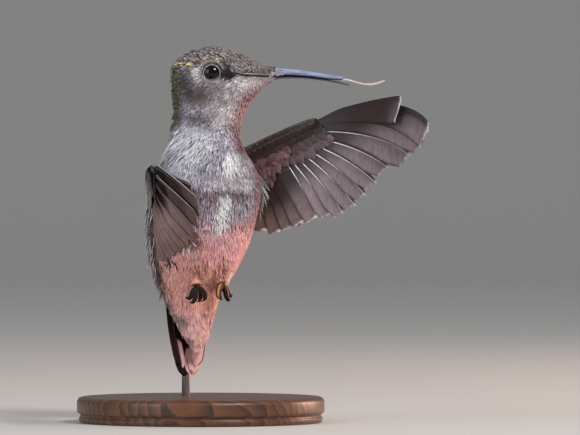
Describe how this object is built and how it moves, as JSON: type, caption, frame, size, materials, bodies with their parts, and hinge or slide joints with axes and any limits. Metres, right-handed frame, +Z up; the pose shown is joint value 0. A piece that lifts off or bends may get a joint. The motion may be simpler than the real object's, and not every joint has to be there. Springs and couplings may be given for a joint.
{
  "type": "hummingbird model on a display stand",
  "caption": "Life-size still model of a female ruby-throated hummingbird in hovering flight, head turned to its left, wings swept forward, held by a rod on a round base.",
  "frame": {"origin": "centre of the round base's underside, on the surface the stand rests on", "axes": "+Z up; +X the way the bill points; the breast faces between -Y and +X"},
  "size_m": [0.0675, 0.0737, 0.0729],
  "materials": {
    "crown_feathers": "short feathers, grey-brown with bronze-green scales",
    "throat_feathers": "short feathers, greyish white",
    "breast_feathers": "soft feathers, whitish above and salmon pink below",
    "wing_feathers": "flight feathers, brown-grey with pale shafts",
    "tail_feathers": "tail feathers, blackish with pale tips",
    "eye": "glossy",
    "bill": "satin horn",
    "tongue": "moist",
    "foot": "scaly skin",
    "stand_wood": "satin varnish",
    "stand_steel": "brushed"
  },
  "bodies": {
    "root": {"head": "crown_feathers", "neck": "throat_feathers", "torso": "breast_feathers", "leg_left": "breast_feathers", "leg_right": "breast_feathers", "wing_left_arm": "wing_feathers", "wing_left_hand": "wing_feathers", "wing_right_arm": "wing_feathers", "wing_right_hand": "wing_feathers", "tail": "tail_feathers", "eye_left": "eye", "eye_right": "eye", "bill_upper": "bill", "bill_lower": "bill", "tongue": "tongue", "foot_left": "foot", "foot_right": "foot", "stand_base": "stand_wood", "stand_rod": "stand_steel"}
  },
  "joints": []
}
